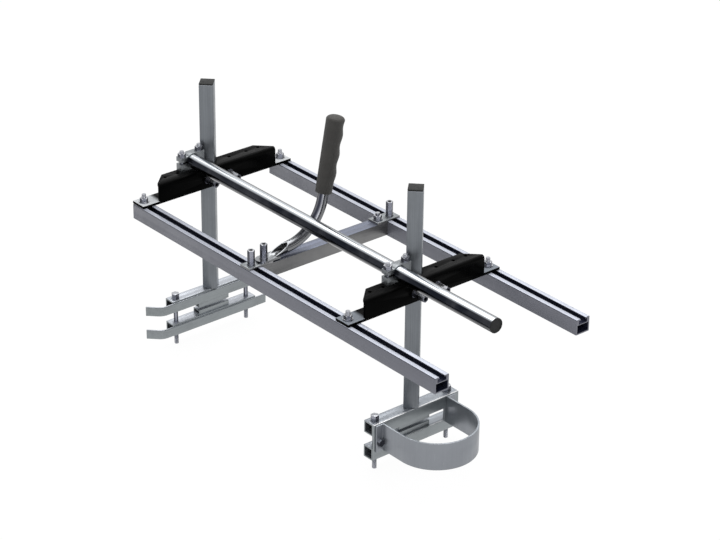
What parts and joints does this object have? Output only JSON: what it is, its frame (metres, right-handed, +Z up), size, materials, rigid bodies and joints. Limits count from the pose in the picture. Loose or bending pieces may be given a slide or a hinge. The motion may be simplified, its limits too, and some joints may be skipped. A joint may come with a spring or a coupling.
{
  "type": "chainsaw mill",
  "caption": "Slotted rail frame with a cross brace, push handle and two sliding end brackets that carry height posts and clamps for a chainsaw bar.",
  "frame": {"origin": "on the ground under the middle of the part's box", "axes": "+X along the rails toward the nose guard, +Y across the rails toward the far rail, +Z up"},
  "size_m": [0.8268, 0.33, 0.5293],
  "materials": {
    "rail_aluminium": "satin, extruded",
    "brace_aluminium": "satin",
    "clamp_aluminium": "machined",
    "black_steel": "satin black",
    "post_steel": "brushed along its length",
    "bar_steel": "satin",
    "chrome_tube": "polished",
    "handle_steel": "satin",
    "grip_rubber": "matte",
    "dark_plastic": "moulded",
    "zinc": "bright zinc plate"
  },
  "bodies": {
    "frame": {"rail_near": "rail_aluminium", "rail_far": "rail_aluminium", "cross_brace": "brace_aluminium", "brace_plate_near": "brace_aluminium", "brace_plate_far": "brace_aluminium", "brace_bolts": "zinc", "brace_coupling_nuts": "zinc", "brace_washers": "zinc", "brace_nut": "zinc", "handle_tube": "handle_steel", "handle_grip": "grip_rubber"},
    "left_carriage": {"bracket_left": "black_steel", "foot_bolts_left": "zinc", "foot_nuts_left": "zinc", "u_bolt_left": "zinc", "u_bolt_nuts_left": "zinc", "tube_clamp_left": "clamp_aluminium", "tube_clamp_bolts_left": "zinc", "tube_clamp_nuts_left": "zinc"},
    "right_carriage": {"bracket_right": "black_steel", "foot_bolts_right": "zinc", "foot_nuts_right": "zinc", "u_bolt_right": "zinc", "u_bolt_nuts_right": "zinc", "tube_clamp_right": "clamp_aluminium", "tube_clamp_bolts_right": "zinc", "tube_clamp_nuts_right": "zinc"},
    "guide_rod": {"guide_tube": "chrome_tube", "guide_tube_plug_left": "dark_plastic", "guide_tube_plug_right": "dark_plastic"},
    "left_post": {"post_left": "post_steel", "post_cap_left": "dark_plastic", "upper_bar_left": "bar_steel", "upper_strip_left": "bar_steel", "upper_pad_left": "bar_steel", "clamp_bolts_left": "zinc"},
    "left_jaw": {"lower_bar_left": "bar_steel", "lower_strip_left": "bar_steel", "lower_pad_left": "bar_steel"},
    "right_post": {"post_right": "post_steel", "post_cap_right": "dark_plastic", "upper_bar_right": "bar_steel", "upper_pad_right": "bar_steel", "clamp_bolts_right": "zinc", "front_plate": "bar_steel", "nose_guard": "bar_steel", "guard_bolts": "zinc", "guard_nuts": "zinc"},
    "right_jaw": {"lower_bar_right": "bar_steel", "lower_pad_right": "bar_steel"}
  },
  "joints": [
    {"name": "left_carriage_slide", "type": "slide", "parent": "frame", "child": "left_carriage", "axis": [1, 0, 0], "range_m": [0, 0.12]},
    {"name": "right_carriage_slide", "type": "slide", "parent": "frame", "child": "right_carriage", "axis": [1, 0, 0], "range_m": [-0.12, 0.16]},
    {"name": "guide_rod_slide", "type": "slide", "parent": "left_carriage", "child": "guide_rod", "axis": [1, 0, 0], "range_m": [-0.1, 0.003]},
    {"name": "left_height_slide", "type": "slide", "parent": "left_carriage", "child": "left_post", "axis": [0, 0, 1], "range_m": [-0.12, 0.14]},
    {"name": "right_height_slide", "type": "slide", "parent": "right_carriage", "child": "right_post", "axis": [0, 0, 1], "range_m": [-0.12, 0.14]},
    {"name": "left_jaw_slide", "type": "slide", "parent": "left_post", "child": "left_jaw", "axis": [0, 0, 1], "range_m": [-0.015, 0]},
    {"name": "right_jaw_slide", "type": "slide", "parent": "right_post", "child": "right_jaw", "axis": [0, 0, 1], "range_m": [-0.015, 0]}
  ]
}
